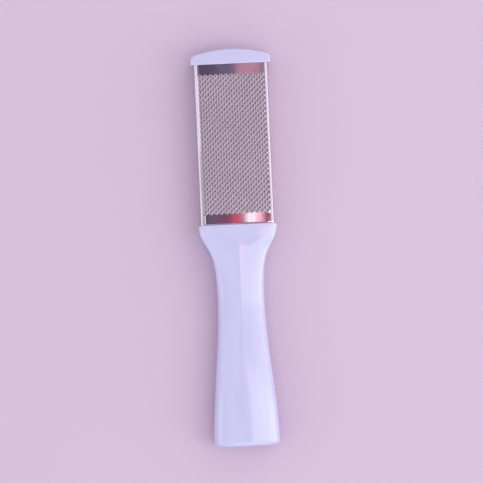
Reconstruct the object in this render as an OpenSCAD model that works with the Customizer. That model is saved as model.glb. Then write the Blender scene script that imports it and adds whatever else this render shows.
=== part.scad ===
// Foot file: a hollow handle in two shells, a moulded head core, two punched steel
// rasp plates folded round the core, and a domed end cap.
// X runs along the file with the end cap towards +X, Y runs across it and Z points up
// from the surface it lies on. The origin is on that surface, under the middle.

/* [Overall sizes] */

// Length of the handle from its butt to the edge of its shoulder
handle_len = 78.9; // [76:0.1:86]
// Length of rasp seen between the shoulder and the end cap
rasp_len = 56.8; // [52:0.1:64]
// Length of the end cap from its rim to the top of its dome
cap_len = 5.3; // [5.1:0.1:6.5]
// Thickness of the end cap and of the shoulder, from front to back
head_thick = 9.4; // [9.2:0.1:10.4]

/* [Handle outline] */

// Width across the shoulder
shoulder_w = 27.8; // [27.6:0.1:30]
// Width at the neck, where the handle is narrowest
neck_w = 16.6; // [16:0.1:19]
// Distance of the neck below the shoulder's edge
neck_dist = 26.5; // [25:0.1:30]
// Width at the butt
butt_w = 23.4; // [20:0.1:27]
// Share of the neck distance at which half of the shoulder's flare is gone
flare_share = 0.315; // [0.29:0.005:0.36]
// How suddenly the flare falls away
flare_power = 3.1; // [2.6:0.1:3.6]
// Rounding of the butt's edges and corners
butt_corner = 1.9; // [1.9:0.1:3]
// How far the middle of the butt stands out beyond its edges
butt_bulge = 0.3; // [0.1:0.05:0.6]
// Rounding of the shoulder's outer edge, where the rasp leaves it
lip_round = 0.5; // [0.3:0.05:0.6]

/* [Handle section] */

// How square the section is at the shoulder
shoulder_power = 7; // [6:0.5:9]
// How square the section is from the neck to the butt
grip_power = 2.5; // [2.3:0.1:3.2]
// Slope of the two front faces away from the middle ridge, as a share of the height
ridge_share = 0.06; // [0:0.01:0.1]
// Extra height of the front under the palm
palm_swell = 1.2; // [0:0.1:2.5]
// How much of the back's crown is cut away to leave its flat
land_depth = 0.15; // [0.05:0.05:0.3]

/* [Handle shells] */

// Wall thickness of both shells
wall = 1.7; // [1.5:0.1:1.8]
// Thickness of the bulkhead that the head core stops against
bulkhead = 2.2; // [1.8:0.1:3]
// Thickness of the ribs across the grip
rib = 1.2; // [0.8:0.1:1.6]
// Number of hollow bays along the grip
grip_bays = 3; // [2:1:4]
// Distance of the joint's tongue from the outside of the wall
tongue_inset = 0.6; // [0.5:0.05:0.7]
// Thickness of the tongue along the front shell's edge
tongue_t = 0.5; // [0.4:0.05:0.6]
// Height of the tongue
tongue_h = 0.8; // [0.5:0.1:1.2]
// Diameter of the pegs that locate the shells and hold the tang
peg_d = 2.6; // [2:0.1:3]
// Diameter of the bosses round the pegs and their sockets
boss_d = 5.6; // [5:0.1:6.2]
// How far each peg reaches into its socket
peg_reach = 1.1; // [0.8:0.1:1.2]

/* [Head core] */

// Width of the tang that reaches down into the handle
tang_w = 10; // [8:0.1:11]
// Thickness of the tang
tang_t = 3.2; // [2.8:0.1:3.4]
// Length of the tang below the shoulder's edge
tang_len = 22; // [20:0.5:24]
// Thickness of the web that is left between the front and back pockets
web_t = 1.2; // [1:0.1:2]
// Thickness of the core's ribs between its pockets
core_rib = 1.4; // [1:0.1:2]
// Thickness of the core's side walls
core_side = 2.2; // [1.6:0.1:3]
// Number of pockets along the core
core_bays = 5; // [3:1:7]
// Width of the tenon that the end cap snaps on to
tenon_w = 14; // [10:0.5:18]
// Thickness of the tenon
tenon_t = 3.6; // [3:0.1:4.4]
// Length of the tenon
tenon_len = 2.2; // [1.8:0.1:2.4]
// Radius of the snap bumps on the tenon
bump_r = 0.3; // [0.2:0.05:0.4]
// Width of the snap bumps
bump_w = 8; // [6:0.5:9]

/* [Rasp plates] */

// Width over the folded sides
plate_w = 26; // [24:0.1:26.2]
// Thickness over both plates, without their teeth
stack_t = 8; // [7.4:0.1:8.2]
// Thickness of the sheet steel
steel_t = 0.5; // [0.4:0.05:0.6]
// Outside radius of the side folds
fold_r = 1.2; // [0.9:0.1:1.5]
// Gap between the front and back plates along each side
seam = 0.6; // [0.3:0.1:1.2]
// Length of plate held under the shoulder and under the end cap
tuck = 1.4; // [1:0.1:1.5]
// Plain band of steel left next to the end cap
upper_band = 3.35; // [2.5:0.05:5]
// Least plain band of steel left next to the shoulder
lower_band = 3.4; // [2.5:0.05:5]
// How far the punched field stands above the plain steel
field_rise = 0.05; // [0.02:0.01:0.1]
// How far each tooth's point leans along the file, as a share of the row spacing
lean_share = 0.35; // [0:0.05:0.6]

/* [Coarse teeth] */

// Distance between neighbouring teeth in one row of the front plate
coarse_pitch = 1.8; // [1.6:0.05:2.4]
// Distance between the rows of the front plate
coarse_row = 0.925; // [0.8:0.005:1.2]
// Height of the front plate's teeth
coarse_h = 0.5; // [0.3:0.05:0.5]

/* [Fine teeth] */

// Distance between neighbouring teeth in one row of the back plate
fine_pitch = 1.5; // [1.3:0.05:2]
// Distance between the rows of the back plate
fine_row = 0.77; // [0.65:0.005:1]
// Height of the back plate's teeth
fine_h = 0.35; // [0.2:0.05:0.45]

/* [End cap] */

// Width of the end cap
cap_w = 28.4; // [28:0.1:30]
// Rise of the dome above its corners
dome_rise = 2.4; // [1.8:0.1:2.6]
// Rounding of the dome's corners, seen from the front
cap_corner = 1.4; // [1:0.1:1.6]
// Rounding of the edges of the end cap's faces
cap_round = 1; // [0.5:0.1:1.2]

/* [Fits] */

// Clearance left on each side of pegs, tongue, tang, tenon and plate edges
slip = 0.1; // [0.05:0.05:0.15]

/* [Hidden] */

// How far every cut and every embedded base runs past the face it meets
overrun = 0.2;
// Steps round one half section of the handle, and of the hollow inside it
skin_steps = 20;
hollow_steps = 12;
// Steps along the handle between its two rounded ends, and along each hollow
skin_stations = 28;
hollow_stations = 7;
// How much closer together the stations are near the shoulder
station_power = 1.35;
// Softness of the front ridge, as a share of the half width
ridge_soft_share = 0.08;
// Shares of the neck distance over which the ridge fades in from the shoulder
ridge_start_share = 0.15;
ridge_full_share = 0.5;
// Shares of the handle's length over which the palm swell rises
swell_start_share = 0.3;
swell_full_share = 0.8;
// Shares of the tang's length at which its two pegs pass through it
tang_peg_shares = [0.4, 0.82];

// Where the parts meet along X, and the height of the joint between the shells
x_butt = -(handle_len + rasp_len + cap_len) / 2;
x_mouth = x_butt + handle_len;
x_rim = x_mouth + rasp_len;
x_tip = x_rim + cap_len;
z_mid = head_thick / 2;
// Distance from the shoulder's edge to the butt's outer edge and to the first hollow
butt_edge = handle_len - butt_bulge;
first_hollow = tuck + bulkhead;
// End of the hollow round the tang, and the length of one bay of the grip
tang_bay_end = tang_len + rib;
grip_len = butt_edge - wall - tang_bay_end;
bay_len = grip_len / grip_bays - rib;
// Sizes of the head core that follow from the plates
core_w = plate_w - 2 * steel_t - 2 * slip;
core_t = stack_t - 2 * steel_t;
core_corner = fold_r - steel_t;
head_len = rasp_len + 2 * tuck;
pocket_len = (rasp_len - (core_bays + 1) * core_rib) / core_bays;
pocket_w = (core_w - 2 * core_side - core_rib) / 2;
pocket_depth = (core_t - web_t) / 2;
// Centre of the snap bumps along the tenon
bump_x = x_rim + tuck + tenon_len / 2;
// Radius of the dome and the place of its corner rounding
dome_r = (cap_w * cap_w / 4 + dome_rise * dome_rise) / (2 * dome_rise);
dome_x = x_tip - dome_r;
corner_y = cap_w / 2 - cap_corner;
corner_x = dome_x + sqrt(pow(dome_r - cap_corner, 2) - pow(corner_y, 2));
corner_meet_y = corner_y * dome_r / (dome_r - cap_corner);
// What is left of the flare's curve, and its slope, at the neck before it is eased out
flare_end = 1 / (1 + pow(1 / flare_share, flare_power));
flare_slope = -flare_power * flare_end * (1 - flare_end);

plastic = [0.8, 0.78, 0.93];
core_plastic = [0.86, 0.85, 0.93];
polished = [0.78, 0.77, 0.8];

// The separate pieces of the file

// Piece to build, or all of them

// Eased step from 0 to 1
function eased(s) = let (c = min(max(s, 0), 1)) c * c * (3 - 2 * c);

// Share of the shoulder's flare left at a share s of the neck distance
function flare(s) =
    1 / (1 + pow(s / flare_share, flare_power))
    - (3 * flare_end - flare_slope) * s * s
    - (flare_slope - 2 * flare_end) * s * s * s;

// Half width of the handle at distance d below the shoulder's edge
function half_w(d) =
    d < neck_dist
    ? neck_w / 2 + (shoulder_w - neck_w) / 2 * flare(max(d, 0) / neck_dist)
    : neck_w / 2 + (butt_w - neck_w) / 2 * eased((d - neck_dist) / (handle_len - neck_dist));

// Height of the crown above the joint, front or back, at distance d
function crown(d, front) =
    front
    ? z_mid + palm_swell
        * eased((d / handle_len - swell_start_share) / (swell_full_share - swell_start_share))
    : z_mid + land_depth;

// How square the section is at distance d
function power(d) = grip_power + (shoulder_power - grip_power) * (1 - eased(d / neck_dist));

// Drop of the front faces away from the ridge at distance d, as a share of the height
function ridge(d) =
    ridge_share
    * eased((d / neck_dist - ridge_start_share) / (ridge_full_share - ridge_start_share));

// Distance from the middle as a share of the half width, softened at the middle
function soft(t) = sqrt(t * t + ridge_soft_share * ridge_soft_share) - ridge_soft_share;

// Half section over the joint plane at distance d, pulled in by inset, with its two
// ends carried down below the plane by drop
function half_ring(d, inset, front, steps, drop) =
    let (
        w = half_w(d) - inset,
        h = crown(d, front) - inset,
        e = 2 / power(d),
        r = front ? ridge(d) : 0,
        arc = [
            for (i = [0 : steps])
                let (
                    c = cos(180 * i / steps),
                    t = sign(c) * pow(abs(c), e),
                    lift = pow(sin(180 * i / steps), e)
                )
                [x_mouth - d, w * t, h * lift * (1 - r * soft(t))]
        ]
    )
    drop > 0
    ? concat([[x_mouth - d, w, -drop]], arc, [[x_mouth - d, -w, -drop]])
    : arc;

// Stations as [distance, inset]: the rounded shoulder edge, the length of the handle
// and the rounded butt, for a skin that lies inset below the outside
function mouth_stations() =
    [for (a = [90 : -45 : 45]) [lip_round * (1 - sin(a)), lip_round * (1 - cos(a))]];
function butt_stations(inset, first) =
    [
        for (a = [first : 30 : 90])
            [
                butt_edge - inset - (butt_corner - inset) * (1 - sin(a)),
                inset + (butt_corner - inset) * (1 - cos(a))
            ]
    ];
function length_stations(from, to, inset, count, gather) =
    [for (i = [0 : count]) [from + (to - from) * pow(i / count, gather), inset]];
function skin_list() =
    concat(
        mouth_stations(),
        length_stations(lip_round, butt_edge - butt_corner, 0, skin_stations, station_power),
        butt_stations(0, 30)
    );

// Closed solid over half sections, flat at the shoulder end and either flat or
// drawn out to a point in the joint plane at the butt end
module half_loft(stations, front, steps, drop, point) {
    rings = [for (s = stations) half_ring(s[0], s[1], front, steps, drop)];
    last = len(rings) - 1;
    n = len(rings[0]);
    tip = n * len(rings);
    skin = [
        for (k = [0 : last - 1], j = [0 : n - 2])
            let (a = k * n + j, b = a + n)
            each [[a, a + 1, b + 1], [a, b + 1, b]]
    ];
    plane = [
        for (k = [0 : last - 1])
            let (p = k * n, q = p + n - 1)
            each [[p, p + n, q + n], [p, q + n, q]]
    ];
    mouth = [for (j = [1 : n - 2]) [0, j + 1, j]];
    butt = point > 0
        ? concat(
            [for (j = [0 : n - 2]) [last * n + j, last * n + j + 1, tip]],
            [[last * n + n - 1, last * n, tip]]
        )
        : [for (j = [1 : n - 2]) [last * n, last * n + j, last * n + j + 1]];
    flat = [for (r = rings) each r];
    polyhedron(
        points = point > 0 ? concat(flat, [[x_mouth - handle_len, 0, 0]]) : flat,
        faces = concat(skin, plane, mouth, butt)
    );
}

// Outline of the handle in the joint plane, pulled in by inset
module joint_outline(inset) {
    rows = concat(
        length_stations(first_hollow, butt_edge - butt_corner, inset, skin_stations, 1),
        butt_stations(inset, 30)
    );
    right = [for (s = rows) [x_mouth - s[0], half_w(s[0]) - s[1]]];
    left = [for (i = [len(rows) - 1 : -1 : 0]) [right[i][0], -right[i][1]]];
    polygon(concat(right, left));
}

// Band that runs round the edge of the shells between two insets, open at the shoulder
module joint_band(outer, inner, height) {
    linear_extrude(height = height)
        difference() {
            joint_outline(outer);
            joint_outline(inner);
            translate([x_mouth - first_hollow - overrun, -shoulder_w / 2])
                square([2 * overrun, shoulder_w]);
        }
}

// Flat figure with rounded corners, centred
module rounded_rect(w, t, r) {
    square([w - 2 * r, t], center = true);
    square([w, t - 2 * r], center = true);
    for (y = [-1, 1], z = [-1, 1])
        translate([y * (w / 2 - r), z * (t / 2 - r)])
            circle(r, $fn = 48);
}

// Bar along X with rounded long edges, centred on the joint plane
module bar(from, to, w, t, r) {
    translate([from, 0, z_mid])
        rotate([90, 0, 90])
            linear_extrude(height = to - from)
                rounded_rect(w, t, r);
}

// Plain block along X, centred on the joint plane
module block(from, to, w, t) {
    translate([from, -w / 2, z_mid - t / 2])
        cube([to - from, w, t]);
}

// Upright round post from one height to another above the joint plane
module post(d, from, to, dia) {
    translate([x_mouth - d, 0, from])
        cylinder(h = to - from, d = dia, $fn = 48);
}

// Distances of the tang's pegs and of the grip's pegs below the shoulder's edge
tang_pegs = [for (s = tang_peg_shares) s * tang_len];
grip_pegs = [for (i = [0 : grip_bays - 1]) tang_bay_end + (i + 0.5) * (bay_len + rib) + rib / 2];

// Hollows inside one shell, measured up from the joint plane
module hollows(front) {
    half_loft(
        length_stations(first_hollow, tang_bay_end, wall, hollow_stations, 1),
        front, hollow_steps, overrun, 0
    );
    for (i = [0 : grip_bays - 1]) {
        from = tang_bay_end + rib + i * (bay_len + rib);
        to = from + bay_len;
        half_loft(
            i < grip_bays - 1
            ? length_stations(from, to, wall, hollow_stations, 1)
            : concat(
                length_stations(from, butt_edge - butt_corner, wall, hollow_stations, 1),
                butt_stations(wall, 30)
            ),
            front, hollow_steps, overrun, 0
        );
    }
}

// Room in the shells for the end of the rasp, the core and the tang
module head_seat() {
    translate([0, 0, -z_mid]) {
        bar(x_mouth - tuck, x_mouth + overrun, plate_w + 2 * slip, stack_t, fold_r);
        block(x_mouth - first_hollow - overrun, x_mouth - tuck + overrun, tang_w + 2 * slip, tang_t);
    }
}

// Front half of the handle with the pegs and the tongue
module handle_front() {
    color(plastic)
        translate([0, 0, z_mid]) {
            difference() {
                half_loft(skin_list(), true, skin_steps, 0, 1);
                hollows(true);
                head_seat();
            }
            for (d = tang_pegs) {
                post(d, tang_t / 2, crown(d, true) - wall / 2, boss_d);
                post(d, -tang_t / 2 - peg_reach, crown(d, true) - wall / 2, peg_d);
            }
            for (d = grip_pegs) {
                post(d, 0, crown(d, true) - wall / 2, boss_d);
                post(d, -peg_reach, crown(d, true) - wall / 2, peg_d);
            }
            translate([0, 0, -tongue_h])
                joint_band(tongue_inset, tongue_inset + tongue_t, tongue_h + overrun);
        }
}

// Back half of the handle with the sockets, the groove and the flat it lies on
module handle_back() {
    color(plastic)
        difference() {
            translate([0, 0, z_mid])
                mirror([0, 0, 1])
                    difference() {
                        union() {
                            difference() {
                                half_loft(skin_list(), false, skin_steps, 0, 1);
                                hollows(false);
                                head_seat();
                            }
                            for (d = tang_pegs)
                                post(d, tang_t / 2, crown(d, false) - wall / 2, boss_d);
                            for (d = grip_pegs)
                                post(d, 0, crown(d, false) - wall / 2, boss_d);
                        }
                        for (d = tang_pegs)
                            post(d, tang_t / 2 - overrun, tang_t / 2 + peg_reach + slip, peg_d + 2 * slip);
                        for (d = grip_pegs)
                            post(d, -overrun, peg_reach + slip, peg_d + 2 * slip);
                        translate([0, 0, -overrun])
                            joint_band(
                                tongue_inset - slip,
                                tongue_inset + tongue_t + slip,
                                tongue_h + slip + overrun
                            );
                    }
            translate([x_butt - overrun, -shoulder_w, -head_thick])
                cube([handle_len + 2 * overrun, 2 * shoulder_w, head_thick]);
        }
}

// Moulded core of the head with its tang and the tenon for the end cap
module head_core() {
    color(core_plastic) {
        difference() {
            bar(x_mouth - tuck, x_rim + tuck, core_w, core_t, core_corner);
            for (i = [0 : core_bays - 1], y = [-1, 1], z = [-1, 1])
                translate([
                    x_mouth + core_rib + i * (pocket_len + core_rib) + pocket_len / 2,
                    y * (pocket_w + core_rib) / 2,
                    z_mid + z * (web_t / 2 + (pocket_depth + overrun) / 2)
                ])
                    cube([pocket_len, pocket_w, pocket_depth + overrun], center = true);
        }
        difference() {
            block(x_mouth - tang_len, x_mouth - tuck + overrun, tang_w, tang_t);
            for (d = tang_pegs)
                translate([0, 0, z_mid])
                    post(d, -tang_t, tang_t, peg_d + 2 * slip);
        }
        block(x_rim + tuck - overrun, x_rim + tuck + tenon_len, tenon_w, tenon_t);
        snap_bumps(bump_r, bump_w);
    }
}

// Round snap bumps across the front and back of the tenon
module snap_bumps(r, w) {
    for (z = [-1, 1])
        translate([bump_x, w / 2, z_mid + z * tenon_t / 2])
            rotate([90, 0, 0])
                cylinder(h = w, r = r, $fn = 48);
}

// Field of pointed teeth on a lattice of staggered rows, with a flat base under it
module tooth_field(rows, cols, row, pitch, height) {
    m = 2 * cols;
    n = m + 1;
    function raised(i, j) = (i + j) % 2 == 0 && i > 0 && i < rows && j > 0 && j < m;
    top = [
        for (i = [0 : rows], j = [0 : m])
            [
                (i + (raised(i, j) ? lean_share : 0)) * row,
                (j / 2 - cols / 2) * pitch,
                field_rise + (raised(i, j) ? height : 0)
            ]
    ];
    base = [
        for (c = [[0, -1], [1, -1], [1, 1], [0, 1]])
            [c[0] * rows * row, c[1] * cols * pitch / 2, -overrun]
    ];
    b = (rows + 1) * n;
    skin = [
        for (i = [0 : rows - 1], j = [0 : m - 1])
            let (p = i * n + j, q = p + n)
            each (i + j) % 2 == 0
                ? [[p, p + 1, q], [q + 1, q, p + 1]]
                : [[p, q + 1, q], [p, p + 1, q + 1]]
    ];
    near_end = [for (j = [0 : m - 1]) [j + 1, j, b]];
    far_end = [for (j = [0 : m - 1]) [rows * n + j, rows * n + j + 1, b + 2]];
    right_side = [for (i = [0 : rows - 1]) [i * n, (i + 1) * n, b + 1]];
    left_side = [for (i = [0 : rows - 1]) [(i + 1) * n + m, i * n + m, b + 3]];
    closing = [
        [m, b, b + 3],
        [0, b + 1, b],
        [rows * n, b + 2, b + 1],
        [rows * n + m, b + 3, b + 2],
        [b, b + 1, b + 2],
        [b, b + 2, b + 3]
    ];
    polyhedron(
        points = concat(top, base),
        faces = concat(skin, near_end, far_end, right_side, left_side, closing)
    );
}

// Rasp plate above the joint plane: a folded channel of sheet with teeth on its face
module rasp_plate(row, pitch, height) {
    rows = floor((rasp_len - upper_band - lower_band) / row);
    cols = floor((plate_w - 2 * fold_r) / pitch);
    difference() {
        translate([0, 0, -z_mid])
            difference() {
                bar(x_mouth - tuck, x_rim + tuck, plate_w, stack_t, fold_r);
                bar(
                    x_mouth - tuck - overrun, x_rim + tuck + overrun,
                    plate_w - 2 * steel_t, core_t, core_corner
                );
            }
        translate([x_mouth - tuck - overrun, -plate_w, -stack_t])
            cube([head_len + 2 * overrun, 2 * plate_w, stack_t + seam / 2]);
    }
    translate([x_rim - upper_band - rows * row, 0, stack_t / 2])
        tooth_field(rows, cols, row, pitch, height);
}

// Front plate with the coarse teeth
module coarse_plate() {
    color(polished)
        translate([0, 0, z_mid])
            rasp_plate(coarse_row, coarse_pitch, coarse_h);
}

// Back plate with the fine teeth
module fine_plate() {
    color(polished)
        translate([0, 0, z_mid])
            mirror([0, 0, 1])
                rasp_plate(fine_row, fine_pitch, fine_h);
}

// Half of the dome's outline, turned about the dome's centre to round its edges
module dome_profile() {
    translate([0, -head_thick / 2])
        square([dome_r - cap_round, head_thick]);
    translate([0, cap_round - head_thick / 2])
        square([dome_r, head_thick - 2 * cap_round]);
    for (z = [-1, 1])
        translate([dome_r - cap_round, z * (head_thick / 2 - cap_round)])
            circle(cap_round, $fn = 48);
}

// Outline of the end cap seen from the front
module cap_outline() {
    translate([x_rim, -cap_w / 2])
        square([corner_x - x_rim, cap_w]);
    intersection() {
        translate([dome_x, 0])
            circle(dome_r, $fn = 360);
        translate([x_rim, -corner_meet_y])
            square([cap_len + overrun, 2 * corner_meet_y]);
    }
    for (y = [-1, 1])
        translate([corner_x, y * corner_y])
            circle(cap_corner, $fn = 48);
}

// End cap with its domed top and the socket for the rasp and the tenon
module end_cap() {
    color(plastic)
        difference() {
            intersection() {
                translate([dome_x, 0, z_mid])
                    rotate_extrude($fn = 360)
                        dome_profile();
                linear_extrude(height = head_thick)
                    cap_outline();
                bar(x_rim, x_tip + overrun, cap_w, head_thick, cap_round);
            }
            bar(x_rim - overrun, x_rim + tuck, plate_w + 2 * slip, stack_t, fold_r);
            block(
                x_rim + tuck - overrun, x_rim + tuck + tenon_len + slip,
                tenon_w + 2 * slip, tenon_t + 2 * slip
            );
            snap_bumps(bump_r + slip, bump_w + 2 * slip);
        }
}

handle_front();
handle_back();
head_core();
coarse_plate();
fine_plate();
end_cap();
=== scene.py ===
"""Looks of a foot file: a two-shell plastic handle, two punched steel rasp plates and a domed end cap."""

import logging
import math
from dataclasses import dataclass, field
from enum import Enum
from itertools import product

import bmesh
import bpy
import numpy as np
from mathutils import Matrix, Vector


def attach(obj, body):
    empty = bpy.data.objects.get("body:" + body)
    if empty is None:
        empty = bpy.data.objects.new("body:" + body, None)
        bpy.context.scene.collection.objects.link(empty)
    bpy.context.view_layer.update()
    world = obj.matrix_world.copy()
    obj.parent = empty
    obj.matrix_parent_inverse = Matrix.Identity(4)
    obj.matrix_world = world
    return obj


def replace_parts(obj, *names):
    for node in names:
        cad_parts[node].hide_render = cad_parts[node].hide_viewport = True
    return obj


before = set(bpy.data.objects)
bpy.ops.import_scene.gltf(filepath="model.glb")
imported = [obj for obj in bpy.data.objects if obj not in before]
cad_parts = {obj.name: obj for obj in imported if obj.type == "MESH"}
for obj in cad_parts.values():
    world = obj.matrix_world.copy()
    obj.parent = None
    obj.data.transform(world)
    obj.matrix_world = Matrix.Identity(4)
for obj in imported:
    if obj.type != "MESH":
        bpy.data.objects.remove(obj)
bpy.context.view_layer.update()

MM = 0.001
LOG = logging.getLogger("foot_file")

# Points that fall in the same cell of this many to a millimetre are welded
WELD_CELLS = 1e4
# Keeps a division or a power away from nought
TINY = 1e-9
# Slack in millimetres when a place is compared with an edge
SLACK = 1e-6

Array = np.ndarray
Material = bpy.types.Material
Socket = bpy.types.NodeSocket
Inputs = dict[str | int, object]
Colour = tuple[float, float, float]
Place = tuple[float, float, float]
Span = tuple[float, float]
Waves = tuple[float, float, float]


class Side(Enum):
    """Which face of the file a piece belongs to, as the sign of its height above the joint plane."""

    FRONT = 1
    BACK = -1


def linked(name: str, data: bpy.types.ID) -> bpy.types.Object:
    """Makes an object and links it to the scene.

    Args:
        name: the object's name.
        data: its mesh, lamp or camera.

    Returns:
        The object.
    """
    item = bpy.data.objects.new(name, data)
    bpy.context.scene.collection.objects.link(item)
    return item


# Mesh making


def eased(share: Array) -> Array:
    """Eased step: three times the square of the share less twice its cube, held between 0 and 1."""
    c = np.clip(share, 0.0, 1.0)
    return c * c * (3.0 - 2.0 * c)


def round_loss(run: Array, radius: float) -> Array:
    """How far a quarter round draws in: its radius less the height of its circle at a run from its edge."""
    return radius - np.sqrt(np.clip(radius**2 - (radius - run) ** 2, 0.0, None))


def even_spacing(points: Array, count: int) -> Array:
    """Places points at equal steps of length along a line of points.

    The running length is the sum of the distances between neighbours. Each coordinate is read off against it.

    Args:
        points: the line, one row a point.
        count: how many points to return.

    Returns:
        The points, first and last kept.
    """
    run = np.concatenate([[0.0], np.cumsum(np.linalg.norm(np.diff(points, axis=0), axis=1))])
    at = np.linspace(0.0, run[-1], count)
    return np.stack([np.interp(at, run, points[:, k]) for k in range(points.shape[1])], axis=1)


def placed(x: float, section: Array) -> Array:
    """Puts the y and z of a section at one place along X."""
    return np.concatenate([np.full((len(section), 1), x), section], axis=1)


def grid_faces(numbers: Array) -> Array:
    """Four-sided faces between neighbours in grids of point numbers.

    Args:
        numbers: the numbers, with rows and columns as the last two axes.

    Returns:
        The four numbers of each face, as a new last axis.
    """
    near = numbers[..., :-1, :]
    far = numbers[..., 1:, :]
    return np.stack([near[..., :-1], far[..., :-1], far[..., 1:], near[..., 1:]], axis=-1)


@dataclass
class Skin:
    """Gathers grids and flat faces of points, in millimetres, and welds them into one closed mesh.

    Each point has a relief, from -1 in a pit to 1 on the highest lip.
    """

    name: str
    points: list[Array] = field(default_factory=list)
    relief: list[Array] = field(default_factory=list)
    faces: list[Array] = field(default_factory=list)
    smooth: list[bool] = field(default_factory=list)
    count: int = 0

    def add(self, points: Array, relief: Array | float = 0.0) -> Array:
        """Adds points and returns their numbers in the same arrangement.

        Args:
            points: points in any arrangement, the last axis being x, y, z.
            relief: one value for all the points, or one a point.

        Returns:
            The numbers of the points.
        """
        shape = points.shape[:-1]
        size = int(np.prod(shape))
        self.points.append(points.reshape(-1, 3))
        self.relief.append(np.broadcast_to(np.asarray(relief, float), shape).reshape(-1))
        numbers = np.arange(self.count, self.count + size).reshape(shape)
        self.count += size
        return numbers

    def grid(self, points: Array) -> Array:
        """Adds a grid of points and the four-sided faces between them.

        Args:
            points: rows by columns by 3.

        Returns:
            The numbers of the points.
        """
        numbers = self.add(points)
        self.cells(numbers)
        return numbers

    def cells(self, numbers: Array, keep: Array | None = None) -> None:
        """Adds the faces between the points of a numbered grid, or only those of the cells to keep."""
        quads = grid_faces(numbers)
        self.rings(quads.reshape(-1, 4) if keep is None else quads[keep])

    def rings(self, numbers: Array, smooth: bool = True) -> None:
        """Adds one face, or several with as many sides, one a row, shaded as smooth or as flat."""
        self.faces.append(np.atleast_2d(numbers))
        self.smooth.append(smooth)

    def stand(self, middle: float, side: Side) -> None:
        """Turns heights above the joint plane, on either side of it, into heights above the table."""
        for block in self.points:
            block[:, 2] = middle + side.value * block[:, 2]

    def welded(self) -> tuple[Array, Array, list[tuple[Array, bool]]]:
        """Joins points that lie within a tenth of a micrometre and drops the sides that this closes up.

        Returns:
            The points, their relief, and the faces as rings of point numbers, with whether they are smooth.
        """
        points = np.concatenate(self.points)
        relief = np.concatenate(self.relief)
        places = np.round(points * WELD_CELLS).astype(np.int64)
        _, first, back = np.unique(places, axis=0, return_index=True, return_inverse=True)
        back = back.reshape(-1)
        out: list[tuple[Array, bool]] = []
        for block, smooth in zip(self.faces, self.smooth):
            ring = back[block]
            same = ring == np.roll(ring, -1, axis=1)
            closed = same.sum(axis=1)
            out.append((ring[closed == 0], smooth))
            # A four-sided face that loses one side is a triangle, and one that loses two is gone
            if ring.shape[1] == 4:
                once = closed == 1
                out.append((ring[once][~same[once]].reshape(-1, 3), smooth))
            elif closed.any():
                pairs = zip(ring[closed > 0], same[closed > 0])
                out += [(row[~gone][None, :], smooth) for row, gone in pairs]
        return points[first], relief[first], [pair for pair in out if len(pair[0])]

    def build(self, material: Material, sharp_deg: float) -> bpy.types.Object:
        """Makes the mesh object, in metres, with its faces outwards, smooth but for its sharp edges.

        Marking the sharp edges makes every face smooth, so the faces' own shading is set after it.

        Args:
            material: the finish of the whole piece.
            sharp_deg: edges that turn more than this stay sharp.

        Returns:
            The new object, linked to the scene.
        """
        points, relief, shaded = self.welded()
        faces = [block for block, _ in shaded]
        smooth = np.concatenate([np.full(len(block), soft) for block, soft in shaded])
        sizes = np.concatenate([np.full(len(block), block.shape[1]) for block in faces])
        starts = np.concatenate([[0], np.cumsum(sizes)[:-1]])
        corners = np.concatenate([block.ravel() for block in faces])
        mesh = bpy.data.meshes.new(self.name)
        mesh.vertices.add(len(points))
        mesh.vertices.foreach_set("co", (points * MM).astype(np.float32).ravel())
        mesh.loops.add(len(corners))
        mesh.loops.foreach_set("vertex_index", corners.astype(np.int32))
        mesh.polygons.add(len(sizes))
        mesh.polygons.foreach_set("loop_start", starts.astype(np.int32))
        mesh.update(calc_edges=True)
        raised = mesh.attributes.new("relief", "FLOAT", "POINT")
        raised.data.foreach_set("value", relief.astype(np.float32))
        work = bmesh.new()
        work.from_mesh(mesh)
        bmesh.ops.recalc_face_normals(work, faces=work.faces)
        open_edges = sum(1 for e in work.edges if not e.is_manifold)
        work.to_mesh(mesh)
        work.free()
        mesh.set_sharp_from_angle(angle=math.radians(sharp_deg))
        mesh.polygons.foreach_set("use_smooth", smooth)
        mesh.materials.append(material)
        piece = linked(self.name, mesh)
        LOG.info("%s: %d points, %d faces, %d open edges", self.name, len(points), len(sizes), open_edges)
        return piece


# Finishes


@dataclass(frozen=True)
class Pattern:
    """Noise in object space: its waves a metre, finer layers, the span that counts and its turn about Z."""

    waves: Waves
    detail: float
    span: Span = (0.3, 0.7)
    turn_deg: float = 0.0


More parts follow.
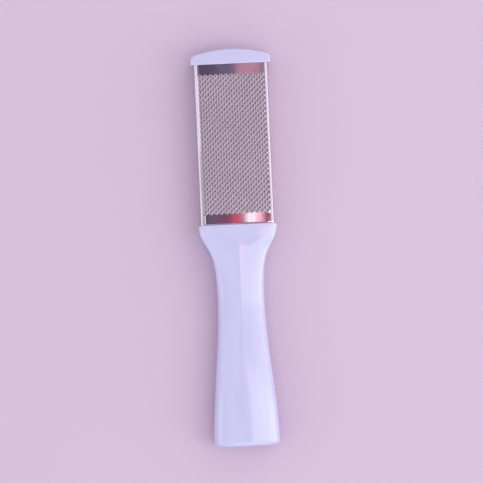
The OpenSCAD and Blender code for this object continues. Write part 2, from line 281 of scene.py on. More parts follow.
class Nodes:
    """Short way to lay out the nodes of one material. Each step gives the output that the next one takes."""

    NOISE_ROUGHNESS = 0.55
    # Numbers of a Mix node's sockets for colours, whose names its other sockets have as well
    MIX_SHARE = 0
    MIX_LOW = 6
    MIX_HIGH = 7
    MIX_RESULT = 2

    def __init__(self, name: str) -> None:
        """Starts a material with its output and main shader.

        Args:
            name: the material's name.
        """
        self.material = bpy.data.materials.new(name)
        self.material.use_nodes = True
        self.tree = self.material.node_tree
        self.tree.nodes.clear()
        self.shader = self.tree.nodes.new("ShaderNodeBsdfPrincipled")
        output = self.tree.nodes.new("ShaderNodeOutputMaterial")
        self.feed(output, {"Surface": self.shader.outputs["BSDF"]})

    def feed(self, node: bpy.types.Node, inputs: Inputs) -> None:
        """Sets a node's sockets, or joins them to other nodes.

        Args:
            node: the node.
            inputs: a value or another node's output for each socket, by its name or number.
        """
        for key, value in inputs.items():
            if isinstance(value, bpy.types.NodeSocket):
                self.tree.links.new(value, node.inputs[key])
            else:
                node.inputs[key].default_value = value

    def add(self, kind: str, inputs: Inputs, out: str | int = 0, **settings: object) -> Socket:
        """Adds a node.

        Args:
            kind: the node's type name.
            inputs: as in feed.
            out: name or number of the output to return.
            settings: the node's own settings.

        Returns:
            That output.
        """
        node = self.tree.nodes.new(kind)
        for key, value in settings.items():
            setattr(node, key, value)
        self.feed(node, inputs)
        return node.outputs[out]

    def noise(self, pattern: Pattern) -> Socket:
        """Lays a pattern in object space.

        Args:
            pattern: the pattern.

        Returns:
            The noise's own values.
        """
        place = self.add("ShaderNodeTexCoord", {}, "Object")
        turn = (0.0, 0.0, math.radians(pattern.turn_deg))
        vector = self.add("ShaderNodeMapping", {"Vector": place, "Scale": pattern.waves, "Rotation": turn})
        values = {"Scale": 1.0, "Detail": pattern.detail, "Roughness": self.NOISE_ROUGHNESS}
        return self.add("ShaderNodeTexNoise", {"Vector": vector} | values)

    def ranged(self, source: Socket, span: Span, to: Span) -> Socket:
        """Spreads the values of a span evenly over another, and holds the rest at its ends."""
        ends = {"From Min": span[0], "From Max": span[1], "To Min": to[0], "To Max": to[1]}
        return self.add("ShaderNodeMapRange", {"Value": source} | ends)

    def spread(self, pattern: Pattern, to: Span = (0.0, 1.0)) -> Socket:
        """Lays a pattern and spreads it between two values."""
        return self.ranged(self.noise(pattern), pattern.span, to)

    def maths(self, operation: str, *terms: Socket | float, clamp: bool = False) -> Socket:
        """Works out one sum of numbers and outputs, held between 0 and 1 where clamp is set."""
        return self.add("ShaderNodeMath", dict(enumerate(terms)), operation=operation, use_clamp=clamp)

    def mixed(self, share: Socket, low: Colour, high: Colour) -> Socket:
        """Goes from the low colour to the high one as the share goes from 0 to 1."""
        colours = {self.MIX_SHARE: share, self.MIX_LOW: (*low, 1.0), self.MIX_HIGH: (*high, 1.0)}
        return self.add("ShaderNodeMix", colours, self.MIX_RESULT, data_type="RGBA")

    def bump(self, height: Socket, depth: float, strength: float, before: Socket | None = None) -> Socket:
        """Tilts the surface by a height that is a share of a depth in metres, over the bump before it."""
        under = {} if before is None else {"Normal": before}
        return self.add("ShaderNodeBump", {"Height": height, "Distance": depth, "Strength": strength} | under)

    def finished(self, inputs: Inputs) -> Material:
        """Feeds the main shader and hands over the material."""
        self.feed(self.shader, inputs)
        return self.material


@dataclass(frozen=True)
class MouldedPlastic:
    """Pale plastic as it leaves a polished mould: clouded colour, faint flow, orange peel and hairlines.

    Gloss is the lowest and the highest roughness, hairlines apart. Depths are in metres, and under_weight
    is how much light goes under the surface.
    """

    name: str
    colour: Colour
    gloss: Span
    peel_depth: float
    under_weight: float
    under_radius: Colour = (0.9, 0.85, 1.0)
    under_depth: float = 0.0012
    refraction: float = 1.62
    cloud: Pattern = Pattern((38.0, 90.0, 90.0), 3.0)
    cloud_shades: Span = (0.965, 1.02)
    smear: Pattern = Pattern((120.0, 160.0, 160.0), 4.0, (0.35, 0.7))
    hairs: Pattern = Pattern((55.0, 2600.0, 2600.0), 1.5, (0.66, 0.74), 9.0)
    hair_roughness: float = 0.1
    hair_depth: float = 2e-6
    hair_strength: float = 0.25
    peel: Pattern = Pattern((900.0, 900.0, 900.0), 2.0)
    peel_strength: float = 0.35
    flow: Pattern = Pattern((70.0, 110.0, 110.0), 1.0)
    flow_strength: float = 0.3
    flow_to_peel: float = 9.0

    def material(self) -> Material:
        """Lays out the finish.

        The colour is the base times a slow cloud, and the roughness a smear plus the hairlines. The orange
        peel, the slower flow and the hairlines tilt the surface one over the other.

        Returns:
            The finished material.
        """
        n = Nodes(self.name)
        low, high = (tuple(c * shade for c in self.colour) for shade in self.cloud_shades)
        hairs = n.spread(self.hairs)
        smear = n.spread(self.smear, self.gloss)
        peel = n.bump(n.noise(self.peel), self.peel_depth, self.peel_strength)
        flow = n.bump(n.noise(self.flow), self.peel_depth * self.flow_to_peel, self.flow_strength, peel)
        return n.finished(
            {
                "Base Color": n.mixed(n.spread(self.cloud), low, high),
                "Roughness": n.maths("MULTIPLY_ADD", hairs, self.hair_roughness, smear),
                "Normal": n.bump(hairs, self.hair_depth, self.hair_strength, flow),
                "IOR": self.refraction,
                "Subsurface Weight": self.under_weight,
                "Subsurface Radius": self.under_radius,
                "Subsurface Scale": self.under_depth,
            }
        )


@dataclass(frozen=True)
class PunchedSteel:
    """Rolled and polished sheet with drawn lines along the file, dull where punched, with painted shade in
    its field and holes and a painted highlight on its lips.

    Gloss is the lowest and the highest roughness outside the punched field. The field is rougher by its
    dull value and darker by its painted shade share, and its holes fall to the painted shade colour. Its
    highest lips win back some colour, as a painted highlight, and polish.
    """

    name: str
    colour: Colour
    # Dark colour of the painted shade in the holes and across the punched field
    painted_shade_colour: Colour
    gloss: Span
    field_dull: float
    # Painted shade of the punched field, as the share by which its colour is darkened
    field_painted_shade: float
    # Painted highlight on the lips, as the share of colour they win back
    tip_painted_highlight: float
    tip_polish: float = 0.35
    hole_shade_span: Span = (-0.9, 0.05)
    field_span: Span = (0.08, 0.11)
    tip_span: Span = (0.5, 0.95)
    stain: Pattern = Pattern((60.0, 140.0, 140.0), 4.0, (0.35, 0.65))
    stain_shades: Span = (0.86, 1.0)
    drawn: Pattern = Pattern((30.0, 4200.0, 4200.0), 3.0, (0.35, 0.7))
    drawn_depth: float = 2e-7
    dents: Pattern = Pattern((110.0, 150.0, 150.0), 1.0)
    dent_depth: float = 2.5e-6
    bump_strength: float = 0.5

    def material(self) -> Material:
        """Lays out the finish from the relief.

        The share of the sheet's colour over the painted shade colour is the height above the pits, a painted
        shade in the holes, times a slow stain, times the field's painted shade, plus the lips' painted
        highlight. The roughness is that of the drawn lines plus the field's dullness less the lips' polish.

        Returns:
            The finished material.
        """
        n = Nodes(self.name)
        relief = n.add("ShaderNodeAttribute", {}, "Fac", attribute_name="relief")
        size = n.maths("ABSOLUTE", relief)
        # Painted highlight on the lips: their colour is lightened by this much, and they are polished as well
        tip = n.ranged(relief, self.tip_span, (0.0, self.tip_painted_highlight))
        # Painted shade in the holes: towards a hole's floor the colour falls to the dark painted shade colour
        depth = n.ranged(relief, self.hole_shade_span, (0.0, 1.0))
        unstained_unshaded = n.maths("MULTIPLY", depth, n.spread(self.stain, self.stain_shades))
        # Painted shade across the punched field: its colour is darkened by this share
        shade = n.ranged(size, self.field_span, (1.0, 1.0 - self.field_painted_shade))
        dull = n.ranged(size, self.field_span, (0.0, self.field_dull))
        lines = n.noise(self.drawn)
        gloss = n.ranged(lines, self.drawn.span, self.gloss)
        worn = n.maths("MULTIPLY_ADD", tip, -self.tip_polish, dull, clamp=True)
        drawn = n.bump(lines, self.drawn_depth, self.bump_strength)
        # Share of the sheet's colour: painted shade in the holes and field, painted highlight on the lips
        share = n.maths("MULTIPLY_ADD", unstained_unshaded, shade, tip, clamp=True)
        return n.finished(
            {
                "Metallic": 1.0,
                "Base Color": n.mixed(share, self.painted_shade_colour, self.colour),
                "Roughness": n.maths("ADD", gloss, worn, clamp=True),
                "Normal": n.bump(n.noise(self.dents), self.dent_depth, self.bump_strength, drawn),
            }
        )


@dataclass(frozen=True)
class PaleFloor:
    """Plain pale table under the file, with a faint slow mottle and a matt surface."""

    name: str
    colour: Colour
    mottle: Pattern = Pattern((14.0, 14.0, 14.0), 3.0)
    mottle_shade: float = 0.985
    roughness: float = 0.7
    specular: float = 0.2

    def material(self) -> Material:
        """Goes from a darker shade of the colour to the colour itself with the mottle.

        Returns:
            The finished material.
        """
        n = Nodes(self.name)
        low = tuple(c * self.mottle_shade for c in self.colour)
        return n.finished(
            {
                "Base Color": n.mixed(n.spread(self.mottle), low, self.colour),
                "Roughness": self.roughness,
                "Specular IOR Level": self.specular,
            }
        )


# The file's own sizes


@dataclass(frozen=True)
class Sizes:
    """Sizes in millimetres that more than one piece needs.

    They are the solids' own, but for the fold, which is an ellipse here and a quarter circle there, and the
    gap above and below the rasp, which the solids don't have. The cap's length runs to the top of its dome,
    the head is the shoulder and the cap, and the stack is both plates together.
    """

    handle_len: float = 78.9
    rasp_len: float = 56.8
    cap_len: float = 5.3
    head_thick: float = 9.4
    plate_w: float = 26.0
    stack_t: float = 8.0
    steel_t: float = 0.5
    fold_w: float = 1.6
    fold_h: float = 0.8
    socket_r: float = 1.2
    side_gap: float = 0.1
    face_gap: float = 0.08

    @property
    def x_butt(self) -> float:
        """Outer end of the butt."""
        return -(self.handle_len + self.rasp_len + self.cap_len) / 2

    @property
    def x_mouth(self) -> float:
        """Edge of the shoulder."""
        return self.x_butt + self.handle_len

    @property
    def x_rim(self) -> float:
        """Rim of the end cap."""
        return self.x_mouth + self.rasp_len

    @property
    def x_tip(self) -> float:
        """Top of the end cap's dome."""
        return self.x_rim + self.cap_len

    @property
    def z_mid(self) -> float:
        """Height of the joint plane."""
        return self.head_thick / 2

    def socket(self, points: Array) -> Array:
        """Moves points of a section on to the rounded rectangle of a socket.

        Each point goes to the nearest point of the rectangle drawn in by the corner radius, then out again by
        that radius.

        Args:
            points: y and z of each point about the joint plane, on or outside the rectangle.

        Returns:
            The moved y and z.
        """
        half = np.array([self.plate_w / 2 + self.side_gap, self.stack_t / 2 + self.face_gap]) - self.socket_r
        core = np.clip(points, -half, half)
        away = points - core
        return core + away * (self.socket_r / np.maximum(np.linalg.norm(away, axis=-1, keepdims=True), TINY))


SIZES = Sizes()


# Handle


@dataclass
class Handle:
    """The two smooth shells of the handle, flared at the shoulder, waisted, and rounded at the butt.

    Lengths are in millimetres. Start and run shares are of the neck's distance from the shoulder's edge,
    but the swell's are of the handle's length.
    """

    sizes: Sizes
    finish: Material
    shoulder_w: float = 27.8
    neck_w: float = 16.6
    neck_dist: float = 26.5
    butt_w: float = 23.4
    flare_share: float = 0.315
    flare_power: float = 3.1
    butt_corner: float = 1.9
    butt_bulge: float = 0.3
    lip_round: float = 0.5
    shoulder_power: float = 7.0
    grip_power: float = 3.0
    ridge_share: float = 0.1
    ridge_start_share: float = 0.15
    ridge_run_share: float = 0.2
    ridge_soft_share: float = 0.05
    palm_soft_share: float = 0.38
    soft_start_share: float = 0.95
    soft_run_share: float = 1.3
    palm_swell: float = 1.2
    swell_start_share: float = 0.3
    swell_run_share: float = 0.5
    land_depth: float = 0.15
    land_blend: float = 0.02
    land_reach: float = 0.3
    seam_round: float = 0.12
    seam_shares: tuple[float, ...] = (0.0, 0.06, 0.25, 0.55, 1.0)
    socket_depth: float = 1.2
    sharp_deg: float = 40.0
    around: int = 72
    along: int = 230
    along_power: float = 1.25
    lip_steps: int = 6
    corner_steps: int = 12
    end_steps: int = 14
    close_turn: float = 0.02
    close_points: int = 500
    turn_points: int = 1200

    def half_width(self, d: Array) -> Array:
        """Half width of the handle.

        Above the neck it is the neck's plus a flare of 1 over 1 plus a power of the distance, eased out at
        the neck. Below it, it goes by an eased step from the neck's to the butt's.

        Args:
            d: distance below the shoulder's edge.

        Returns:
            The half width there.
        """
        end = 1.0 / (1.0 + (1.0 / self.flare_share) ** self.flare_power)
        slope = -self.flare_power * end * (1.0 - end)
        s = np.clip(d, 0.0, None) / self.neck_dist
        flare = 1.0 / (1.0 + (s / self.flare_share) ** self.flare_power)
        flare = flare - (3 * end - slope) * s**2 - (slope - 2 * end) * s**3
        top = self.neck_w / 2 + (self.shoulder_w - self.neck_w) / 2 * flare
        rest = eased((d - self.neck_dist) / (self.sizes.handle_len - self.neck_dist))
        low = self.neck_w / 2 + (self.butt_w - self.neck_w) / 2 * rest
        return np.where(d < self.neck_dist, top, low)

    def crown(self, d: Array, side: Side) -> Array:
        """Height of the middle line above the joint plane.

        The back's is even. The front's is half of the head's thickness plus the palm's swell by an eased
        step.

        Args:
            d: distance below the shoulder's edge.
            side: front or back.

        Returns:
            The height there.
        """
        if side is Side.BACK:
            return np.full_like(d, self.sizes.z_mid + self.land_depth)
        below = d / self.sizes.handle_len
        swell = eased((below - self.swell_start_share) / self.swell_run_share)
        return self.sizes.z_mid + self.palm_swell * swell

    def stations(self) -> tuple[Array, Array]:
        """Where the sections lie, closer together near the shoulder, with a quarter round at either end.

        Returns:
            Distances below the shoulder's edge and how far the section is drawn in there.
        """
        edge = self.sizes.handle_len - self.butt_bulge
        a = np.radians(np.linspace(90.0, 0.0, self.lip_steps + 1)[:-1])
        b = np.radians(np.linspace(0.0, 90.0, self.corner_steps + 1)[1:])
        u = np.linspace(0.0, 1.0, self.along) ** self.along_power
        middle = self.lip_round + (edge - self.butt_corner - self.lip_round) * u
        corner = edge - self.butt_corner * (1 - np.sin(b))
        d = np.concatenate([self.lip_round * (1 - np.sin(a)), middle, corner])
        inset = np.concatenate([self.lip_round * (1 - np.cos(a)), 0 * u, self.butt_corner * (1 - np.cos(b))])
        return d, inset

    def ridged(self, t: Array, d: float) -> Array:
        """Share of its height that the front keeps beside the ridge, which is sharp at the neck, then soft.

        It is 1 less the ridge's share times the soft distance from the middle. That is the root of the
        distance's square plus the softness's, less the softness.

        Args:
            t: share of the half width, from the middle.
            d: distance below the shoulder's edge.

        Returns:
            The share of the height.
        """
        below = np.array(d / self.neck_dist)
        ridge = self.ridge_share * float(eased((below - self.ridge_start_share) / self.ridge_run_share))
        fade = float(eased((below - self.soft_start_share) / self.soft_run_share))
        soft = self.ridge_soft_share + (self.palm_soft_share - self.ridge_soft_share) * fade
        return 1.0 - ridge * (np.sqrt(t * t + soft**2) - soft)

    def levelled(self, z: Array) -> Array:
        """Holds the back level with the table by a soft minimum near it.

        That is less the blend, times the log of the sum of two exponentials, of less the height and of less
        the table's over the blend.

        Args:
            z: distance of the back from the joint plane.

        Returns:
            The held distance.
        """
        land = self.sizes.z_mid
        held = -self.land_blend * np.logaddexp(-z / self.land_blend, -land / self.land_blend)
        return np.where(z > land - self.land_reach, held, z)

    def section(self, d: float, inset: float, side: Side) -> Array:
        """Half section at one station.

        The curve is a superellipse: width by a power of the cosine, height by the same power of the sine.
        That power goes from the shoulder's to the grip's by an eased step. The edge at the joint plane is a
        small quarter round.

        Args:
            d: distance below the shoulder's edge.
            inset: how far the section is drawn in.
            side: front or back.

        Returns:
            y and z above the joint plane, from one side over the crown to the other.
        """
        w = float(self.half_width(np.array(d))) - inset
        h = float(self.crown(np.array(d), side)) - inset
        rise = float(1 - eased(np.array(d / self.neck_dist)))
        square = self.grip_power + (self.shoulder_power - self.grip_power) * rise
        close = np.geomspace(TINY, self.close_turn, self.close_points)
        turn = np.concatenate([close, np.linspace(self.close_turn, math.pi / 2, self.turn_points)[1:]])
        quarter = np.stack([np.cos(turn) ** (2 / square), np.sin(turn) ** (2 / square)], axis=1)
        # The cosine of a quarter turn comes out a little above nought
        quarter[-1] = (0.0, 1.0)
        low = self.seam_round * np.array(self.seam_shares)
        start = self.seam_round / h
        line = quarter[quarter[:, 1] > start] * [w, h]
        seam = [np.interp(start, quarter[:, 1], quarter[:, 0]) * w, self.seam_round]
        upper = even_spacing(np.concatenate([[seam], line]), self.around // 2 + 1)
        edge = np.interp(low / h, quarter[:, 1], quarter[:, 0]) * w - round_loss(low, self.seam_round)
        half = np.concatenate([np.stack([edge, low], axis=1)[:-1], upper])
        if side is Side.FRONT:
            half[:, 1] *= self.ridged(half[:, 0] / w, d)
        else:
            half[:, 1] = self.levelled(half[:, 1])
        mirrored = half[-2::-1] * [-1.0, 1.0]
        return np.concatenate([half, mirrored])

    def shell(self, side: Side, name: str) -> bpy.types.Object:
        """One shell: sections carried along the handle, a bulged butt, and the socket that the rasp enters.

        Args:
            side: front or back.
            name: the piece's name.

        Returns:
            The piece.
        """
        s = self.sizes
        d, inset = self.stations()
        rings = np.stack([self.section(a, b, side) for a, b in zip(d, inset)])
        x = np.broadcast_to((s.x_mouth - d)[:, None, None], rings.shape[:2] + (1,))
        outer = np.concatenate([x, rings], axis=2)
        share = np.linspace(1.0, 0.0, self.end_steps + 1)[1:, None]
        bulge = np.broadcast_to(s.x_butt + self.butt_bulge * share**2, (len(share), rings.shape[1]))
        end = np.stack([bulge, share * rings[-1, :, 0], share * rings[-1, :, 1]], axis=2)
        inner = s.socket(rings[0])
        # The socket's wall starts and ends on the joint plane
        inner[[0, -1], 1] = 0.0
        mouth = np.stack([placed(s.x_mouth - self.socket_depth, inner), placed(s.x_mouth, inner)])
        skin = Skin(name)
        n = skin.grid(np.concatenate([mouth, outer, end]))
        skin.rings(n[0])
        skin.rings(np.concatenate([n[:, 0], n[-2::-1, -1]]))
        skin.stand(s.z_mid, side)
        piece = skin.build(self.finish, self.sharp_deg)
        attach(piece, "root")
        return piece

    def build(self) -> None:
        """Makes both shells in place of their solids."""
        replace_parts(self.shell(Side.FRONT, "handle_front_skin"), "handle_front")
        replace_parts(self.shell(Side.BACK, "handle_back_skin"), "handle_back")


# Rasp plates


@dataclass(frozen=True)
class Teeth:
    """One plate's field of punched teeth, in millimetres.

    A row is a step along the file, and the pitch a step across it. The radii go from the foot, where the
    sheet starts to rise, over the lip and the mouth in it to the hole's floor, deep below the sheet. A lip
    leans ahead, towards the end cap, and is ragged up and down. Sides is a multiple of four.
    """

    row: float
    pitch: float
    height: float
    sides: int
    foot: float
    lip: float
    mouth: float
    hole: float
    deep: float
    ahead: float
    ragged: float
    seed: int


COARSE = Teeth(
    row=0.925, pitch=1.83, height=0.34, sides=12, foot=0.57, lip=0.35,
    mouth=0.27, hole=0.18, deep=0.26, ahead=0.06, ragged=0.02, seed=11,
)
FINE = Teeth(
    row=0.77, pitch=1.58, height=0.28, sides=8, foot=0.47, lip=0.29,
    mouth=0.23, hole=0.15, deep=0.22, ahead=0.05, ragged=0.015, seed=23,
)


@dataclass
class RaspPlate:
    """A sheet folded down along both sides, plain at its ends and punched into staggered teeth between.

    Lengths are in millimetres, and relief runs from -1 in a pit to 1 on the highest lip.
    """

    sizes: Sizes
    finish: Material
    teeth: Teeth
    side: Side
    name: str
    node: str
    upper_band: float = 3.35
    lower_band: float = 3.4
    band_inset: float = 0.03
    tucked: float = 1.0
    seam: float = 0.6
    bevel: float = 0.06
    bow: float = 0.05
    bow_end_loss: float = 0.3
    rail_w: float = 1.05
    mouth_dip: float = 0.12
    dip_run: float = 0.5
    dip_margin: float = 0.02
    field_relief: float = 0.12
    foot_rise: float = 0.03
    foot_relief: float = 0.15
    lip_t: float = 0.03
    mouth_relief: float = 0.6
    low_side: float = 0.25
    lift_power: float = 1.5
    least_size: float = 0.86
    drift: float = 0.035
    dip_points: int = 7
    lower_points: int = 8
    upper_points: int = 10
    fold_points: int = 15
    drop_points: int = 6
    sharp_deg: float = 32.0

    @property
    def reach(self) -> float:
        """Half width of the face between the plain rails."""
        return self.sizes.plate_w / 2 - self.rail_w

    @property
    def top(self) -> float:
        """Height of the flat sheet above the joint plane."""
        return self.sizes.stack_t / 2

    def layout(self) -> tuple[int, int, float]:
        """Counts the lattice of the field, which has as many rows and columns as fit between bands and rails.

        Returns:
            How many steps it has along the file and across it, and where it starts along X.
        """
        s = self.sizes
        t = self.teeth
        rows = int((s.rasp_len - self.upper_band - self.lower_band) / t.row)
        cols = int(2 * self.reach / t.pitch)
        return rows, 2 * cols, s.x_rim - self.upper_band - rows * t.row

    def dipped(self, x: Array) -> Array:
        """Share of its height that the sheet keeps in the shoulder: 1 less a parabola of the way in."""
        way = np.clip(1.0 - (x - self.sizes.x_mouth) / self.dip_run, 0.0, 1.0)
        return 1.0 - 2 * self.mouth_dip * way**2 / self.sizes.stack_t

    def shaped(self, points: Array) -> Array:
        """Bows the sheet, starts its folds and dips it into the shoulder.

        The face rises to its middle by a parabola, which flattens out over the upper band. Towards the
        sides it falls by the fold's ellipse. Both come before the dip, so that face and folds meet in it.

        Args:
            points: points with z above the joint plane.

        Returns:
            The shaped points.
        """
        s = self.sizes
        x = points[..., 0]
        out_y = np.abs(points[..., 1])
        cross = np.clip(1.0 - (points[..., 1] / self.reach) ** 2, 0.0, 1.0)
        ends = np.clip((x - (s.x_rim - self.upper_band)) / self.upper_band, 0.0, 1.0) ** 2
        edge = np.clip((out_y - s.plate_w / 2) / s.fold_w + 1.0, 0.0, 1.0)
        fall = np.where(out_y < self.reach + SLACK, s.fold_h * (1.0 - np.sqrt(1.0 - edge**2)), 0.0)
        bent = points[..., 2] + self.bow * cross * (1.0 - self.bow_end_loss * ends) - fall
        out = points.copy()
        out[..., 2] = bent * self.dipped(x)
        return out

    def tooth(self) -> tuple[Array, Array]:
        """One tooth about its middle: a diamond of flat sheet, a foot, the lip, its mouth and the floor.

        The lip's height falls off from the side towards the end cap: it is a low share plus the rest times
        a power of half of one plus the cosine of the turn. The hole narrows from its mouth to its floor.

        Returns:
            Rings by sides by x, y, z, and the relief of each point.
        """
        t = self.teeth
        steps = t.sides // 4
        corners = np.array([[t.row, 0.0], [0.0, t.pitch / 2], [-t.row, 0.0], [0.0, -t.pitch / 2]])
        share = np.arange(steps)[:, None] / steps
        diamond = np.concatenate([corners[i] + (corners[(i + 1) % 4] - corners[i]) * share for i in range(4)])
        turn = np.arange(t.sides) * 2 * math.pi / t.sides
        circle = np.stack([np.cos(turn), np.sin(turn)], axis=1)
        lift = self.low_side + (1.0 - self.low_side) * (0.5 + 0.5 * np.cos(turn)) ** self.lift_power
        level = np.ones(t.sides)
        ahead = np.array([t.ahead, 0.0])
        rings = (
            (diamond, 0.0 * level, self.field_relief * level),
            (circle * t.foot, self.foot_rise * level, self.foot_relief * level),
            (circle * t.lip + ahead, t.height * lift, lift),
            (circle * t.mouth + ahead, (t.height - self.lip_t) * lift, self.mouth_relief * lift),
            (circle * t.hole + ahead, -t.deep * level, -level),
        )
        points = np.stack([np.concatenate([flat, z[:, None]], axis=1) for flat, z, _ in rings])
        return points, np.stack([relief for _, _, relief in rings])

    def lay_field(self, skin: Skin) -> None:
        """Lays the teeth on every other point of the lattice and plain corners round the edge of the field.

        Each tooth has its own size and strays a little from its place, and its lip is ragged.

        Args:
            skin: the plate's skin.
        """
        t = self.teeth
        rows, cols, start = self.layout()
        i, j = np.meshgrid(np.arange(rows + 1), np.arange(cols + 1), indexing="ij")
        even = (i + j) % 2 == 0
        inside = even & (i > 0) & (i < rows) & (j > 0) & (j < cols)
        flat = np.full(i.shape, self.top)
        place = np.stack([start + i * t.row, (j - cols / 2) * t.pitch / 2, flat], axis=-1)
        shape, relief = self.tooth()
        centres = place[inside]
        rng = np.random.default_rng(t.seed)
        size = rng.uniform(self.least_size, 1.0, (len(centres), 1, 1))
        stray = rng.uniform(-self.drift, self.drift, (len(centres), 1, 1, 2))
        ragged = rng.uniform(-t.ragged, t.ragged, (len(centres), 1, t.sides))
        teeth = np.broadcast_to(shape, (len(centres),) + shape.shape).copy()
        # Ring 0 is the flat diamond, which stays. Rings 2 and 3 are the lip and its mouth.
        teeth[:, 1:, :, 2] *= size
        teeth[:, 1:, :, :2] += stray
        teeth[:, 2:4, :, 2] += ragged
        teeth += centres[:, None, None, :]
        n = skin.add(self.shaped(teeth), np.broadcast_to(relief, teeth.shape[:-1]))
        skin.rings(grid_faces(np.concatenate([n, n[:, :, :1]], axis=2)).reshape(-1, 4))
        skin.rings(n[:, -1, :])
        steps = t.sides // 4
        ends = (i == 0) | (i == rows)
        corner_relief = np.array([0.0] + [self.field_relief] * (steps + 1))
        for si, sj, at_end in product((-1, 1), (-1, 1), (True, False)):
            fits = (i + si >= 0) & (i + si <= rows) & (j + sj >= 0) & (j + sj <= cols)
            p = place[even & ~inside & (ends == at_end) & fits]
            a = p + [si * t.row, 0.0, 0.0]
            b = p + [0.0, sj * t.pitch / 2, 0.0]
            ring = [p] + [a + (b - a) * (q / steps) for q in range(steps + 1)]
            numbers = skin.add(self.shaped(np.stack(ring, axis=1)), corner_relief)
            skin.rings(numbers, smooth=not at_end)

    def lines_along(self) -> Array:
        """Places along X of the sheet's grid: close together in the dip, then one at each row of the field.

        Returns:
            The places, from the end tucked into the shoulder to the one tucked into the end cap.
        """
        s = self.sizes
        rows, _, start = self.layout()
        end = start + rows * self.teeth.row
        dip_end = s.x_mouth + self.dip_run
        return np.concatenate(
            [
                [s.x_mouth - self.tucked],
                s.x_mouth + self.dip_run * np.linspace(0.0, 1.0, self.dip_points),
                np.linspace(dip_end + self.dip_margin, start - self.band_inset, self.lower_points),
                start + np.arange(rows + 1) * self.teeth.row,
                np.linspace(end + self.band_inset, s.x_rim, self.upper_points),
                [s.x_rim + self.tucked],
            ]
        )

    def profile(self) -> Array:
        """Section of both folds and of the sheet's inside.

        A fold is part of a quarter ellipse. The straight hem under it ends at the seam, with small bevels.

        Returns:
            y and z above the joint plane, from the right rail down, round and inside to the left rail.
        """
        s = self.sizes
        half = s.plate_w / 2
        low = self.seam / 2
        a = np.linspace(math.asin(1.0 - self.rail_w / s.fold_w), math.pi / 2, self.fold_points)
        circle = np.stack([np.sin(a), np.cos(a)], axis=1)
        centre = np.array([half - s.fold_w, self.top - s.fold_h])
        fold = centre + circle * [s.fold_w, s.fold_h]
        drop = np.linspace(centre[1], low + self.bevel, self.drop_points + 1)[1:]
        hem = np.array(
            [
                [half - self.bevel, low],
                [half - s.steel_t + self.bevel, low],
                [half - s.steel_t, low + self.bevel],
            ]
        )
        inner = centre + circle[::-1] * [s.fold_w - s.steel_t, s.fold_h - s.steel_t]
        right = np.concatenate([fold, np.stack([np.full(len(drop), half), drop], axis=1), hem, inner])
        return np.concatenate([right, right[::-1] * [-1.0, 1.0]])

    def build(self) -> None:
        """Makes the plate: the plain sheet as a grid round the field, then the folds and the inside."""
        rows, cols, start = self.layout()
        end = start + rows * self.teeth.row
        half_field = cols * self.teeth.pitch / 4
        lines_x = self.lines_along()
        lines_y = (np.arange(cols + 1) - cols / 2) * self.teeth.pitch / 2
        lines_y = np.concatenate([[-self.reach], lines_y, [self.reach]])
        x, y = np.meshgrid(lines_x, lines_y, indexing="ij")
        punched = (x > start + SLACK) & (x < end - SLACK) & (np.abs(y) < half_field - SLACK)
        skin = Skin(self.name)
        sheet = self.shaped(np.stack([x, y, np.full(x.shape, self.top)], axis=-1))
        numbers = skin.add(sheet, self.field_relief * punched)
        mid_x = (lines_x[:-1] + lines_x[1:]) / 2
        mid_y = (lines_y[:-1] + lines_y[1:]) / 2
        held = ((mid_x > start) & (mid_x < end))[:, None] & (np.abs(mid_y) < half_field)[None, :]
        skin.cells(numbers, ~held)
        self.lay_field(skin)
        profile = self.profile()
        band = np.zeros((len(lines_x), len(profile), 3))
        band[:, :, 0] = lines_x[:, None]
        band[:, :, 1:] = profile[None, :, :]
        band[:, :, 2] *= self.dipped(lines_x)[:, None]
        wall = skin.grid(band)
        for row in (0, -1):
            skin.rings(np.concatenate([wall[row], numbers[row][1:-1]]))
        skin.stand(self.sizes.z_mid, self.side)
        piece = skin.build(self.finish, self.sharp_deg)
        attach(piece, "root")
        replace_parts(piece, self.node)


# End cap


